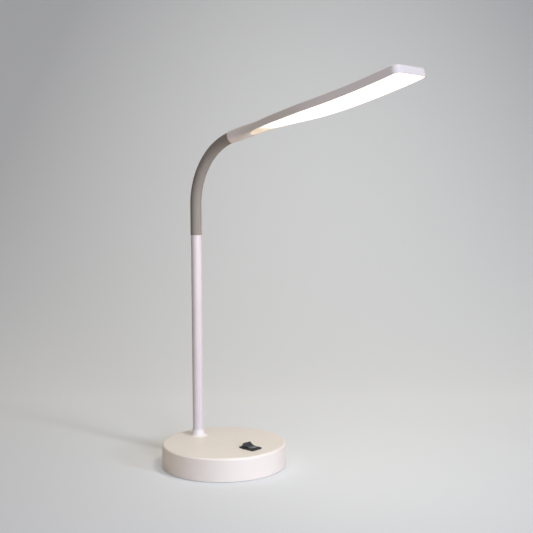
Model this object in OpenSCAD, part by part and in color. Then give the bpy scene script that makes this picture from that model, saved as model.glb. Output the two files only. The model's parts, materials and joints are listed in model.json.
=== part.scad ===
// Gooseneck desk lamp: a weighted round base with a rocker switch, a steel stem, a gooseneck that
// bends at eight places and a slim curved head with an opal light panel.
// Millimetres, +Z up. The origin is on the table under the middle of the base, and the head points to +X.

/* [Base] */
// Diameter of the round base
base_d = 140; // [124:1:170]
// Height of the base's top face above the table
base_h = 26; // [25.5:0.5:32]
// Wall thickness of the moulded base cover
cover_wall = 2.4; // [1.8:0.1:3]
// Radius of the rounded edge round the cover's top
cover_edge_r = 2.5; // [1:0.25:3]
// Height of the cover's rim and of the bottom plate above the table
rim_gap = 0.6; // [0.3:0.1:1]
// Thickness of the bottom plate
plate_t = 2.4; // [2:0.1:3]
// Clearance all round the bottom plate inside the cover
plate_gap = 0.2; // [0.1:0.05:0.5]
// Distance of the non-slip foam pad's edge from the base's edge
pad_margin = 11; // [9:0.5:20]
// Thickness of the foam pad
pad_t = 1.5; // [1.2:0.1:2]
// Clearance round the pad in its recess
pad_gap = 0.3; // [0.1:0.1:0.6]

/* [Ballast] */
// Clearance between the cast-iron ballast disc and the cover's wall
ballast_margin = 5.1; // [3:0.1:10]
// Thickness of the ballast disc
ballast_t = 9; // [6:0.5:10]
// Gap between the bottom plate and the ballast
ballast_lift = 0.4; // [0.2:0.1:1]
// Clearance of the ballast round what passes through it
ballast_gap = 1.2; // [0.8:0.1:2]
// Distance of the ballast screws from the ballast's edge
ballast_screw_edge = 12.5; // [10:0.5:16]

/* [Screws] */
// Distance of the bottom plate's screws from the cover's wall
plate_screw_edge = 12.6; // [11:0.1:16]
// Outer radius of the screw posts in the cover
post_r = 3.6; // [3:0.1:4.5]
// Shank radius of the case screws
screw_r = 1.5; // [1.25:0.05:1.75]
// Head radius of the case screws
screw_head_r = 2.8; // [2.5:0.1:3.2]
// Head height of the countersunk case screws
screw_head_h = 1.3; // [1:0.05:1.4]
// Length of the case screws with their heads
screw_len = 10; // [8:0.5:12]
// Head radius of the small board screws
small_head_r = 1.9; // [1.6:0.1:2.2]
// Shank radius of the small board screws
small_screw_r = 1; // [0.8:0.05:1.2]

/* [Stem] */
// Distance of the stem's axis from the base's back edge
stem_edge = 27; // [25:0.5:32]
// Outer diameter of the steel stem
stem_d = 12; // [11:0.5:14]
// Wall thickness of the stem tube
stem_wall = 1; // [0.8:0.1:1.5]
// Height of the stem's top end above the table
stem_top = 260; // [200:1:320]
// Clearance round the stem in the cover's collar
stem_fit = 0.05; // [0.02:0.01:0.1]
// Depth of the stem's foot below the base's top face
stem_sink = 1; // [0:0.25:1.5]
// Wall of the collar round the stem
collar_wall = 1; // [0.8:0.1:2]
// Height of the collar above the base's top face
collar_h = 8; // [6:0.5:14]
// Radius of the collar's flared foot
flare_r = 5; // [3:0.5:6]
// Radius of the boss under the cover that the stem bolts to
boss_r = 11; // [10:0.5:13]
// Depth of that boss below the base's top face
boss_depth = 6.5; // [5:0.25:7]
// Thickness of the stem's washer
washer_t = 1.2; // [0.8:0.1:1.6]
// Radius of the stem's washer
washer_r = 9; // [8:0.5:10]
// Height of the stem's nut
nut_h = 4; // [3:0.5:4.5]
// Width of the stem's nut across its flats
nut_flats = 14; // [13:0.5:16]
// Radius of the bore through the threaded nipple
nipple_bore_r = 3.2; // [2.5:0.1:3.6]
// Length of nipple inside the stem
nipple_grip = 20; // [12:1:30]
// Length of nipple below the nut
nipple_end = 1.5; // [1:0.25:2]

/* [Gooseneck] */
// Outer diameter of the silicone sleeve
neck_d = 12.75; // [12.5:0.25:15]
// Wall thickness of the sleeve
sleeve_wall = 1.55; // [1.5:0.05:2.2]
// Clearance between the wound core and the sleeve
core_fit = 0.05; // [0.02:0.01:0.1]
// Radius of the bore through the core
core_bore_r = 1.9; // [1.6:0.1:2.2]
// Stiff length between the stem and the first bending place
base_grip = 18.5; // [14:0.5:24]
// Length of the straight link above it
straight_link = 15.5; // [14.5:0.5:20]
// Radius of the gooseneck's bend
bend_r = 77; // [70:1:100]
// Angle through which the gooseneck bends
bend_angle = 76; // [72:1:90]
// Stiff length between the last bending place and the head
head_grip = 9.1; // [8:0.1:12]
// Number of links in the bend
bend_links = 6;
// Clearance of each ball in its cup
ball_gap = 0.15; // [0.1:0.01:0.2]
// Height of a cup's lip above the middle of its ball
lip_rise = 2.6; // [2.5:0.1:3]
// Turns of wire in each link of the core
core_turns = 6; // [4:1:8]
// Depth of the groove between two turns
turn_groove = 0.5; // [0.3:0.05:0.7]
// Length of the ferrules' plugs in the stem and in the head
plug_len = 16; // [10:1:20]

/* [Head] */
// Length of the head along its curved middle line
head_len = 244; // [220:1:270]
// Widest half-width of the head
head_half_w = 25.9; // [22:0.1:30]
// Half-width of the head at its tip
tip_half_w = 25; // [21:0.1:28]
// Thickness of the flat part of the head
head_t = 8.4; // [7:0.1:10]
// Outer diameter of the head's round neck
head_neck_d = 14.4; // [14:0.1:16]
// Slope of the head where it dips most, above level
dip_slope = 8.8; // [6:0.1:12]
// Slope of the head at its tip, above level
tip_slope = 16.7; // [14:0.1:22]
// Distance from the neck's end to the dip
dip_at = 85; // [70:1:100]
// Where the neck begins to widen and where it is full width
flare_from = 8; // [5:1:20]
flare_to = 136; // [120:1:150]
// Where the neck begins to thin and where it is full thin
thin_from = 11; // [8:1:20]
thin_to = 52; // [46:1:70]
// Radius of the two corners at the tip, seen from above
tip_corner_r = 7; // [4:0.5:12]
// Radius of the head's top edges
top_edge_r = 1.4; // [0.8:0.1:2]
// Radius of the head's bottom edges
bottom_edge_r = 0.6; // [0.4:0.1:1]
// Radius of the neck's rounded end
neck_edge_r = 1; // [0.5:0.1:1.5]
// Thickness of the head's top skin
skin_t = 1.4; // [1.2:0.1:1.8]
// Width of the rim round the light panel
rim_w = 1.3; // [1.1:0.1:2]
// Width of the ledge that the panel rests on
ledge_w = 1.2; // [0.8:0.1:2]

/* [Light] */
// Where the opal panel begins, from the neck's end
panel_from = 31; // [28:1:40]
// Length over which the panel's round start widens
panel_round = 12; // [8:1:16]
// Thickness of the opal panel
panel_t = 1.5; // [1.2:0.1:1.8]
// Depth of the panel below the rim
panel_inset = 0.25; // [0.1:0.05:0.5]
// Clearance round the panel
panel_gap = 0.15; // [0.1:0.05:0.3]
// Where the circuit board with the lights begins
board_from = 50; // [46:1:60]
// Gap between that board and the tip
board_end_gap = 9; // [6:0.5:14]
// Thickness of the light board
board_t = 1; // [0.8:0.1:1.2]
// Clearance between the board, the skin and the ledges
board_gap = 0.05; // [0.02:0.01:0.1]
// Gap between the board's edge and the ledge
board_side_gap = 1; // [0.6:0.1:2]
// Number of lights in each row
lights_per_row = 14; // [8:1:18]
// Length, width and height of one light
light_size = [3.5, 2.8, 0.7];
// Distance of the first and the last light from the board's ends
light_end_gap = 7; // [5:0.5:12]
// Gap from the outer edge of a light to the board's edge
light_edge_gap = 3; // [2:0.5:5]

/* [Switch] */
// Distance of the switch's middle from the base's front edge
switch_edge = 28; // [26:0.5:32]
// Length and width of the switch's bezel
bezel = [21, 15];
// Thickness of the bezel
bezel_t = 1.6; // [1.2:0.1:2]
// Length and width of the switch's body below the bezel
switch_body = [19, 12.8];
// Depth of the switch's body below the base's top face
switch_depth = 12.5; // [12:0.5:14]
// Clearance of the body in the cover's cut-out
switch_fit = 0.1; // [0.05:0.05:0.2]
// Half-width of the rocker
rocker_half_w = 5.3; // [5:0.1:5.3]
// Radius of the rocker's ends about its pivot
rocker_r = 8.5; // [8:0.1:8.7]
// Height of the rocker's two top corners above its pivot when it is level
rocker_peak = 4.9; // [4:0.1:5.5]
// Height of the rocker's hollow middle above its pivot
rocker_mid = 3.1; // [2.6:0.1:3.4]
// Depth of the rocker below its pivot
rocker_below = 4; // [3:0.5:5]
// Depth of the pivot below the bezel's top
pivot_depth = 2.1; // [1.6:0.1:2.4]
// Clearance round the rocker
rocker_gap = 0.2; // [0.15:0.05:0.3]
// Radius of the rocker's pivot studs
stud_r = 1.4; // [1:0.1:1.6]
// Clearance round the pivot studs
stud_fit = 0.05; // [0.02:0.01:0.1]
// Tilt of the rocker to each side of level
rocker_tilt = 14; // [10:1:14]
// Width, thickness and length of a terminal blade
blade = [4.8, 0.8, 7];
// Distance between the two terminal blades
blade_pitch = 9; // [7:0.5:11]

/* [Power inlet] */
// Height of the power inlet's axis above the table
inlet_z = 12.5; // [12:0.25:13]
// Radius of the inlet's round nose
inlet_nose_r = 4; // [3.8:0.1:4.5]
// Radius of the socket for the plug
inlet_bore_r = 2.8; // [2.75:0.05:3.2]
// Depth of that socket
inlet_bore_depth = 9.5; // [8:0.5:11]
// Radius of the socket's centre pin
inlet_pin_r = 1; // [0.8:0.05:1.25]
// Length of the pin inside the socket
inlet_pin_len = 8.5; // [7:0.5:9]
// Length, width and height of the inlet's body
inlet_body = [11.5, 9, 11];
// Thickness of the flat pad behind the cover's wall
inlet_pad_t = 1.6; // [1:0.1:2]
// Depth of the inlet's nose below the cover's outer wall
inlet_nose_inset = 0.4; // [0.2:0.1:1]
// Clearance round the inlet's nose in the cover
inlet_fit = 0.1; // [0.05:0.05:0.2]

/* [Driver] */
// Length and width of the driver board
driver_size = [44, 30];
// Distance of the driver board's middle from the middle of the base
driver_x = 0; // [-2:0.5:2]
// Thickness of the driver board
driver_t = 1.6; // [1.2:0.1:1.8]
// Height of the driver board's underside above the table
driver_z = 8; // [7:0.25:9]
// Distance of the driver board's screws from its edges
driver_screw_edge = 3.5; // [3:0.5:4]
// Clearance of the ballast's window round the driver board
driver_gap = 3; // [2:0.5:4]

/* [Hidden] */
$fn = 64;
eps = 0.01;
through = 1;          // how far a cutting tool passes the face that it cuts

// Base
base_r = base_d / 2;
inner_r = base_r - cover_wall;
pad_r = base_r - pad_margin;
ballast_r = inner_r - ballast_margin;
ballast_screw_ring = ballast_r - ballast_screw_edge;
plate_screw_ring = inner_r - plate_screw_edge;
ceiling_z = base_h - cover_wall;
plate_top = rim_gap + plate_t;
stem_x = stem_edge - base_r;
stem_r = stem_d / 2;
tube_bore_r = stem_r - stem_wall;
collar_r = stem_r + stem_fit + collar_wall;
stem_foot_z = base_h - stem_sink;
boss_z = base_h - boss_depth;
washer_z = boss_z - washer_t;
nut_z = washer_z - nut_h;
nipple_z = nut_z - nipple_end;
nipple_hole_fit = 0.1;
ballast_z = plate_top + ballast_lift;
ballast_top = ballast_z + ballast_t;
plate_screw_angles = [45, 135, 225, 315];
ballast_screw_angles = [75, 105, 255, 285];
pilot_gap = 0.05;     // between a screw's shank and its hole, where the real thread bites

// Gooseneck
neck_r = neck_d / 2;
core_hole_r = neck_r - sleeve_wall;
core_r = core_hole_r - core_fit;
ball_skin = 0.03;     // how far a ball lies inside the sleeve's surface
ball_r = neck_r - ball_skin;
ball_root = 0.5;      // how far a ball end reaches back into its own link
bore_step = 0.1;      // how much wider a bore gets where it leaves the bend
cup_r = neck_r + ball_gap;
head_plug_r = core_r - 0.3;
plug_fit = 0.05;
neck_straight = base_grip + straight_link;
bend_len = bend_r * bend_angle * PI / 180;
neck_len = neck_straight + bend_len;
bend_link = (bend_len - head_grip) / bend_links;
neck_links = bend_links + 1;
hinges = neck_links + 1;
bend_z = stem_top + neck_straight;
lead_r = 1.3;
lead_gap = 0.25;      // from each end of a length of lead to its hinge
mouth_r = core_bore_r + (ball_r + through) * tan(20);
rest_tilt = rocker_tilt;

// Head
head_start = [stem_x + bend_r * (1 - cos(bend_angle)), bend_z + bend_r * sin(bend_angle)];
neck_slope = 90 - bend_angle;
head_neck_r = head_neck_d / 2;
head_half_t = head_t / 2;
top_round_to = 140;   // where the round top of the neck has become the head's top edge
bottom_round_to = 46; // where the round bottom of the neck has become the bottom edge
corner_steps = 5;
least_flat = 0.1;     // half the flat left between two round edges
panel_end = head_len - rim_w;
close_step = 5;       // between stations where the neck turns into the paddle
spine_step = 9;       // between stations along the paddle

// Switch and power inlet
switch_x = base_r - switch_edge;
bezel_top = base_h + bezel_t;
pivot_z = bezel_top - pivot_depth;
switch_bottom = base_h - switch_depth;
pocket_r = rocker_r + rocker_gap;
pocket_half_w = rocker_half_w + rocker_gap;
stud_len = (switch_body[1] / 2 - pocket_half_w) + rocker_gap - 0.1;
inlet_front_x = -base_r + cover_wall + inlet_pad_t;
driver_top = driver_z + driver_t;

// ---------------------------------------------------------------- shared shapes

// An annulus or a disc, drilled from both sides
module ring(outer, inner, h) {
    difference() {
        cylinder(r = outer, h = h);
        translate([0, 0, -through]) cylinder(r = inner, h = h + 2 * through);
    }
}

// A plate with round corners, centred, made of true arcs
module round_plate(size, r, h) {
    translate([-size[0] / 2 + r, -size[1] / 2, 0]) cube([size[0] - 2 * r, size[1], h]);
    translate([-size[0] / 2, -size[1] / 2 + r, 0]) cube([size[0], size[1] - 2 * r, h]);
    for (x = [-1, 1], y = [-1, 1])
        translate([x * (size[0] / 2 - r), y * (size[1] / 2 - r), 0]) cylinder(r = r, h = h);
}

// A countersunk screw, head down, standing on the origin
module countersunk_screw(len) {
    cylinder(r1 = screw_head_r, r2 = screw_r, h = screw_head_h);
    translate([0, 0, screw_head_h - eps]) cylinder(r = screw_r, h = len - screw_head_h);
}

// The hole for that screw through a plate
module countersunk_hole(depth) {
    hole_r = screw_r + 0.15;
    translate([0, 0, -eps]) cylinder(r1 = screw_head_r + 0.1, r2 = hole_r, h = screw_head_h + eps);
    translate([0, 0, -eps]) cylinder(r = hole_r, h = depth + through);
}

// A pan-head board screw, head down, with its head's flat face on the origin's plane
module pan_screw(len, head_h = 1.2) {
    translate([0, 0, -head_h]) cylinder(r = small_head_r, h = head_h);
    translate([0, 0, -eps]) cylinder(r = small_screw_r, h = len);
}

// Children turned to each of a ring of places
module on_ring(angles, r) {
    for (a = angles) rotate([0, 0, a]) translate([r, 0, 0]) children();
}

// Children at the stem's foot, on the table's level
module at_stem() {
    translate([stem_x, 0, 0]) children();
}

// A tube swept along points, closed at both ends
module wire(points, r, sides = 8) {
    last = len(points) - 1;
    function along(i) = points[min(i + 1, last)] - points[max(i - 1, 0)];
    function unit(v) = v / norm(v);
    function across(i) = let (t = unit(along(i)), up = abs(t[1]) > 0.9 ? [1, 0, 0] : [0, 1, 0])
        unit(cross(t, up));
    rings = [for (i = [0:last]) let (u = across(i), v = cross(unit(along(i)), u))
        for (k = [0:sides - 1]) points[i] + r * (cos(k * 360 / sides) * u + sin(k * 360 / sides) * v)];
    walls = [for (i = [0:last - 1], k = [0:sides - 1])
        let (a = i * sides + k, b = i * sides + (k + 1) % sides)
            each [[a, b + sides, b], [a, a + sides, b + sides]]];
    polyhedron(rings, concat(walls, [[for (k = [0:sides - 1]) k]],
        [[for (k = [sides - 1:-1:0]) last * sides + k]]));
}

// A smooth curve through hand-picked points
function smooth(points, steps = 3) = let (n = len(points) - 1) [
    for (i = [0:n - 1], j = [0:steps - 1]) let (
        t = j / steps,
        a = points[max(i - 1, 0)], b = points[i], c = points[i + 1], d = points[min(i + 2, n)])
        0.5 * (2 * b + (c - a) * t + (2 * a - 5 * b + 4 * c - d) * t * t
            + (3 * b - a - 3 * c + d) * t * t * t),
    points[n]
];

// ---------------------------------------------------------------- base

module cover_profile(r, top, edge) {
    square([r - edge, top]);
    square([r, top - edge]);
    translate([r - edge, top - edge]) circle(r = edge);
}

// Concave foot that leads from the base's top into the collar
module collar_profile() {
    square([collar_r, collar_h]);
    difference() {
        translate([0, -through]) square([collar_r + flare_r, flare_r + through]);
        translate([collar_r + flare_r, flare_r]) circle(r = flare_r);
    }
}

module screw_post(top, bottom, r, hole_r) {
    difference() {
        translate([0, 0, bottom]) cylinder(r = r, h = top - bottom);
        translate([0, 0, bottom - through]) cylinder(r = hole_r, h = screw_len + through);
    }
}

module base_cover() {
    color([0.86, 0.82, 0.77]) difference() {
        union() {
            difference() {
                rotate_extrude() intersection() {
                    cover_profile(base_r, base_h, cover_edge_r);
                    translate([0, rim_gap]) square([base_r, base_h]);
                }
                translate([0, 0, -through]) cylinder(r = inner_r, h = ceiling_z + through);
            }
            at_stem() translate([0, 0, base_h]) rotate_extrude() collar_profile();
            at_stem() translate([0, 0, boss_z]) cylinder(r = boss_r, h = boss_depth);
            translate([-inner_r - cover_wall / 2, -inlet_body[1] / 2 - 1, plate_top + 1])
                cube([inlet_pad_t + cover_wall / 2, inlet_body[1] + 2, ceiling_z - plate_top]);
            on_ring(plate_screw_angles, plate_screw_ring)
                screw_post(ceiling_z + eps, plate_top, post_r, screw_r + pilot_gap);
            on_ring(ballast_screw_angles, ballast_screw_ring)
                screw_post(ceiling_z + eps, ballast_top, post_r, screw_r + pilot_gap);
            for (p = driver_screws_at()) translate([p[0], p[1], 0])
                screw_post(ceiling_z + eps, driver_top, small_head_r + 0.6, small_screw_r + pilot_gap);
        }
        at_stem() translate([0, 0, stem_foot_z]) cylinder(r = stem_r + stem_fit, h = base_h);
        at_stem() cylinder(r = tube_bore_r + nipple_hole_fit, h = base_h);
        translate([switch_x, 0, base_h - 2 * cover_wall])
            linear_extrude(3 * cover_wall) square(switch_body + 2 * [switch_fit, switch_fit], center = true);
        translate([-base_r - through, 0, inlet_z]) rotate([0, 90, 0])
            cylinder(r = inlet_nose_r + inlet_fit, h = cover_wall + inlet_pad_t + 2 * through);
    }
}

module base_plate() {
    color([0.84, 0.82, 0.78]) difference() {
        union() {
            translate([0, 0, rim_gap]) cylinder(r = inner_r - plate_gap, h = plate_t);
            translate([inlet_front_x + inlet_body[0] / 3, -inlet_body[1] / 2, plate_top - eps])
                cube([2, inlet_body[1], inlet_z - inlet_body[2] / 2 - plate_top + eps]);
        }
        translate([0, 0, rim_gap - through]) cylinder(r = pad_r + pad_gap, h = pad_t - rim_gap + through);
        on_ring(plate_screw_angles, plate_screw_ring) translate([0, 0, pad_t]) countersunk_hole(plate_t);
    }
}

module foam_pad() {
    color([0.25, 0.25, 0.26]) cylinder(r = pad_r, h = pad_t);
}

// Everything that the ballast leaves room for
module ballast_windows() {
    h = ballast_t + 2 * through;
    linear_extrude(h) translate([driver_x, 0])
        square(driver_size + 2 * [driver_gap, driver_gap], center = true);
    linear_extrude(h) translate([0, -switch_body[1] / 2 - ballast_gap])
        square([switch_x + switch_body[0] / 2 + ballast_gap, switch_body[1] + 2 * ballast_gap]);
    linear_extrude(h) translate([-base_r, -washer_r - ballast_gap])
        square([base_r - driver_size[0] / 2, 2 * (washer_r + ballast_gap)]);
    on_ring(plate_screw_angles, plate_screw_ring) cylinder(r = post_r + ballast_gap, h = h);
}

module ballast() {
    color([0.35, 0.36, 0.37]) difference() {
        translate([0, 0, ballast_z]) cylinder(r = ballast_r, h = ballast_t);
        translate([0, 0, ballast_z - through]) ballast_windows();
        on_ring(ballast_screw_angles, ballast_screw_ring)
            translate([0, 0, ballast_z]) countersunk_hole(ballast_t);
    }
}

module ballast_screws() {
    color("silver") on_ring(ballast_screw_angles, ballast_screw_ring)
        translate([0, 0, ballast_z]) countersunk_screw(ballast_t + screw_len / 2);
}

module plate_screws() {
    color("silver") on_ring(plate_screw_angles, plate_screw_ring)
        translate([0, 0, pad_t]) countersunk_screw(screw_len);
}

// ---------------------------------------------------------------- stem

module stem_tube() {
    color([0.93, 0.9, 0.92]) at_stem() translate([0, 0, stem_foot_z])
        ring(stem_r, tube_bore_r, stem_top - stem_foot_z);
}

module stem_nipple() {
    color("gold") at_stem() translate([0, 0, nipple_z])
        ring(tube_bore_r, nipple_bore_r, stem_foot_z + nipple_grip - nipple_z);
}

module stem_washer() {
    color("silver") at_stem() translate([0, 0, washer_z]) ring(washer_r, tube_bore_r, washer_t);
}

module stem_nut() {
    color("gold") at_stem() translate([0, 0, nut_z]) difference() {
        cylinder(r = nut_flats / 2 / cos(30), h = nut_h, $fn = 6);
        translate([0, 0, -through]) cylinder(r = tube_bore_r, h = nut_h + 2 * through);
    }
}

// ---------------------------------------------------------------- rocker switch

module at_switch() {
    translate([switch_x, 0, pivot_z]) children();
}

// A bar across the switch, centred on the pivot
module across_switch(r, half_w) {
    rotate([90, 0, 0]) translate([0, 0, -half_w]) cylinder(r = r, h = 2 * half_w);
}

module switch_housing() {
    clip = 0.5;
    color([0.12, 0.12, 0.14]) difference() {
        union() {
            translate([switch_x, 0, base_h]) round_plate(bezel, 1, bezel_t);
            translate([switch_x, 0, switch_bottom])
                linear_extrude(switch_depth + eps) square(switch_body, center = true);
            for (side = [-1, 1]) translate([switch_x, side * switch_body[1] / 2, base_h - cover_wall - 2])
                rotate([90, 0, 90]) linear_extrude(switch_body[0] / 3, center = true)
                    polygon([[0, 0], [side * clip, 2], [0, 2]]);
        }
        at_switch() across_switch(pocket_r, pocket_half_w);
        at_switch() translate([-pocket_r, -pocket_half_w, 0])
            cube([2 * pocket_r, 2 * pocket_half_w, pivot_depth + through]);
        at_switch() across_switch(stud_r + stud_fit, switch_body[1] / 2 - 0.05);
    }
}

// The rocker's side view when level: round ends about the pivot and a hollow top
module rocker_profile() {
    peak_x = sqrt(rocker_r * rocker_r - rocker_peak * rocker_peak);
    dish = rocker_peak - rocker_mid;
    dish_r = (peak_x * peak_x + dish * dish) / (2 * dish);
    difference() {
        intersection() {
            circle(r = rocker_r);
            translate([-rocker_r, -rocker_below]) square([2 * rocker_r, rocker_below + rocker_peak]);
        }
        translate([0, rocker_mid + dish_r]) circle(r = dish_r);
    }
}

module rocker() {
    color([0.1, 0.1, 0.12]) at_switch() rotate([0, rest_tilt, 0]) union() {
        rotate([90, 0, 0]) linear_extrude(2 * rocker_half_w, center = true) rocker_profile();
        across_switch(stud_r, rocker_half_w + stud_len);
    }
}

module switch_terminals() {
    color("silver") for (side = [-1, 1])
        translate([switch_x + side * blade_pitch / 2, 0, switch_bottom - blade[2] / 2])
            cube([blade[1], blade[0], blade[2]], center = true);
}

// ---------------------------------------------------------------- power inlet and driver

module power_inlet() {
    nose_len = inlet_front_x + base_r - inlet_nose_inset;
    color([0.15, 0.15, 0.16]) translate([inlet_front_x, 0, inlet_z]) difference() {
        union() {
            translate([0, -inlet_body[1] / 2, -inlet_body[2] / 2]) cube(inlet_body);
            translate([-nose_len, 0, 0]) rotate([0, 90, 0]) cylinder(r = inlet_nose_r, h = nose_len + eps);
        }
        translate([-nose_len - through, 0, 0]) rotate([0, 90, 0])
            cylinder(r = inlet_bore_r, h = inlet_bore_depth + through);
    }
}

module inlet_pin() {
    floor_x = -base_r + inlet_nose_inset + inlet_bore_depth;
    color("silver") translate([floor_x - inlet_pin_len, 0, inlet_z]) rotate([0, 90, 0])
        cylinder(r = inlet_pin_r, h = inlet_pin_len);
}

function driver_screws_at() = [for (side = [-1, 1])
    [driver_x + side * (driver_size[0] / 2 - driver_screw_edge),
     side * (driver_size[1] / 2 - driver_screw_edge)]];

module driver_board() {
    color([0.1, 0.4, 0.2]) difference() {
        translate([driver_x, 0, driver_z]) linear_extrude(driver_t) square(driver_size, center = true);
        for (p = driver_screws_at()) translate([p[0], p[1], driver_z - through])
            cylinder(r = small_screw_r + 0.1, h = driver_t + 2 * through);
    }
}

// Plug blocks on the driver board, for the inlet, the lights and the switch: their middles
plug_block = [6, 7, 5.5];
block_x = driver_size[0] / 2 - plug_block[0] / 2;
inlet_block = [driver_x - block_x, 6];
lamp_block = [driver_x - block_x, -4.5];
switch_block = [driver_x + block_x, -4.5];

module driver_parts() {
    coil = [4.5, 5];
    capacitor = [3.2, 8];
    chip = [6, 5, 1.6];
    color([0.2, 0.2, 0.22]) translate([0, 0, driver_top]) {
        translate([driver_x - 4, -8, 0]) cylinder(r = coil[0], h = coil[1]);
        translate([driver_x + 9, 7, 0]) cylinder(r = capacitor[0], h = capacitor[1]);
        translate([driver_x + 2, 6, 0]) linear_extrude(chip[2]) square([chip[0], chip[1]], center = true);
        for (at = [inlet_block, lamp_block, switch_block]) translate(at)
            linear_extrude(plug_block[2]) square([plug_block[0], plug_block[1]], center = true);
    }
}

module driver_screws() {
    color("silver") for (p = driver_screws_at()) translate([p[0], p[1], driver_z]) pan_screw(7);
}

// Routes of the insulated wires, through points chosen by hand
wire_r = 0.8;
wire_gap = 0.4;       // between a wire's end and what it is soldered or plugged to
wire_pitch = 2;
plug_z = driver_top + plug_block[2] / 2;
inlet_tail = inlet_front_x + inlet_body[0] + wire_gap;
blade_face = blade[1] / 2 + wire_r + wire_gap;
left_plug_x = driver_x - driver_size[0] / 2 - wire_gap;
right_plug_x = driver_x + driver_size[0] / 2 + wire_gap;
function inlet_route(side) = [
    [inlet_tail, side * 3, inlet_z], [inlet_tail + 1.5, side * 3, inlet_z],
    [inlet_tail + 4.5, side * 7, inlet_z - 1.5],
    [stem_x, side * 9.2, inlet_z - 3], [stem_x + 9, side * 8, inlet_z - 1],
    [left_plug_x - 3, inlet_block[1] + side * wire_pitch, plug_z],
    [left_plug_x, inlet_block[1] + side * wire_pitch, plug_z]
];
back_blade_route = [
    [switch_x - blade_pitch / 2 - blade_face, -1, switch_bottom - 4],
    [switch_x - blade_pitch / 2 - 4, -2.5, switch_bottom - 4.5],
    [right_plug_x + 6, switch_block[1] + wire_pitch / 2, switch_bottom - 3],
    [right_plug_x + 3, switch_block[1] - wire_pitch, plug_z],
    [right_plug_x, switch_block[1] - wire_pitch, plug_z]
];
front_blade_route = [
    [switch_x + blade_pitch / 2 - blade_face, 1, switch_bottom - 4],
    [switch_x, 3.6, switch_bottom - 5],
    [switch_x - blade_pitch / 2, 4, switch_bottom - 5],
    [right_plug_x + 7, 1, switch_bottom - 3.5],
    [right_plug_x + 3, switch_block[1] + wire_pitch, plug_z],
    [right_plug_x, switch_block[1] + wire_pitch, plug_z]
];

module inlet_leads() {
    color("firebrick") for (side = [-1, 1]) wire(smooth(inlet_route(side)), wire_r);
}

module switch_leads() {
    color("dimgray") for (route = [back_blade_route, front_blade_route]) wire(smooth(route), wire_r);
}

// ---------------------------------------------------------------- gooseneck

// Distance of hinge k, counted from 1, above the stem's top along the gooseneck's middle line
function hinge_s(k) = k == 1 ? base_grip : neck_straight + (k - 2) * bend_link;
// Lean of the middle line from upright at distance s
function lean(s) = s <= neck_straight ? 0 : (s - neck_straight) / bend_r * 180 / PI;
// The point of the middle line at distance s
function neck_point(s) = s <= neck_straight ? [stem_x, 0, stem_top + s]
    : [stem_x + bend_r * (1 - cos(lean(s))), 0, bend_z + bend_r * sin(lean(s))];

// Children at distance s along the gooseneck, their Z along the middle line
module along_neck(s) {
    translate(neck_point(s)) rotate([0, lean(s), 0]) children();
}

// A round bar of the middle line from s0 to s1, which lie on the same side of the bend's start
module neck_bar(s0, s1, r) {
    if (s1 <= neck_straight + eps) {
        along_neck(s0) cylinder(r = r, h = s1 - s0);
    } else {
        translate([stem_x + bend_r, 0, bend_z]) rotate([90, 0, 0]) rotate([0, 0, 180 - lean(s1)])
            rotate_extrude(angle = lean(s1) - lean(s0)) translate([bend_r, 0]) rotate(90) circle(r = r);
    }
}

// The grooves between the turns of wire from s0 to s1
module turn_grooves(s0, s1) {
    pitch = (s1 - s0) / core_turns;
    cut = turn_groove + core_fit;
    for (i = [1:core_turns - 1]) along_neck(s0 + i * pitch) rotate_extrude()
        polygon([[core_r - turn_groove, 0], [core_r + core_fit, -cut], [core_r + core_fit, cut]]);
}

// Ball end of a link about hinge k, as wide as r
module ball_end(k, r) {
    along_neck(hinge_s(k)) rotate([0, 0, 90]) intersection() {
        sphere(r = ball_r);
        translate([0, 0, -ball_root]) cylinder(r = r, h = 2 * ball_r);
    }
}

// Opening in the ball's top that lets the lead lean with the next link
module mouth(k) {
    along_neck(hinge_s(k)) translate([0, 0, -bore_step])
        cylinder(r1 = core_bore_r + bore_step, r2 = mouth_r, h = ball_r + through);
}

// Room for the ball of the link below, about hinge k
module cup(k) {
    along_neck(hinge_s(k)) rotate([0, 0, 90]) sphere(r = cup_r);
}

module neck_core(i) {
    s0 = hinge_s(i);
    s1 = hinge_s(i + 1);
    color([0.55, 0.56, 0.58]) difference() {
        union() {
            neck_bar(s0, s1, core_r);
            ball_end(i + 1, core_r - bore_step);
        }
        cup(i);
        neck_bar(s0, s1, core_bore_r);
        mouth(i + 1);
        turn_grooves(s0, s1);
    }
}

// The sleeve of one link; the first ends square on the stem and the last square on the head
module neck_sleeve(i) {
    s0 = i == 0 ? 0 : hinge_s(i);
    s1 = i == hinges ? neck_len : hinge_s(i + 1);
    start = i == 0 ? 0 : s0 + lip_rise;
    color([0.6, 0.57, 0.54]) difference() {
        union() {
            neck_bar(start, s1, neck_r);
            if (i < hinges) ball_end(i + 1, neck_r);
        }
        if (i > 0) cup(i);
        if (i > 0) neck_bar(s0, s1, core_hole_r);
        if (i == 0) along_neck(-through) cylinder(r = core_hole_r, h = s1 + through);
        along_neck(s1) translate([0, 0, -bore_step]) cylinder(r = core_hole_r + bore_step, h = 2 * ball_r);
    }
}

// Ferrule that joins the core to the stem: a plug in the tube, then the core's first stretch
module ferrule_base() {
    color([0.7, 0.7, 0.72]) difference() {
        union() {
            along_neck(0) translate([0, 0, -plug_len]) cylinder(r = tube_bore_r, h = plug_len);
            along_neck(0) cylinder(r = core_r, h = hinge_s(1));
            ball_end(1, core_r);
        }
        along_neck(0) translate([0, 0, -plug_len - through])
            cylinder(r = core_bore_r, h = plug_len + hinge_s(1) + through);
        mouth(1);
    }
}

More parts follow.
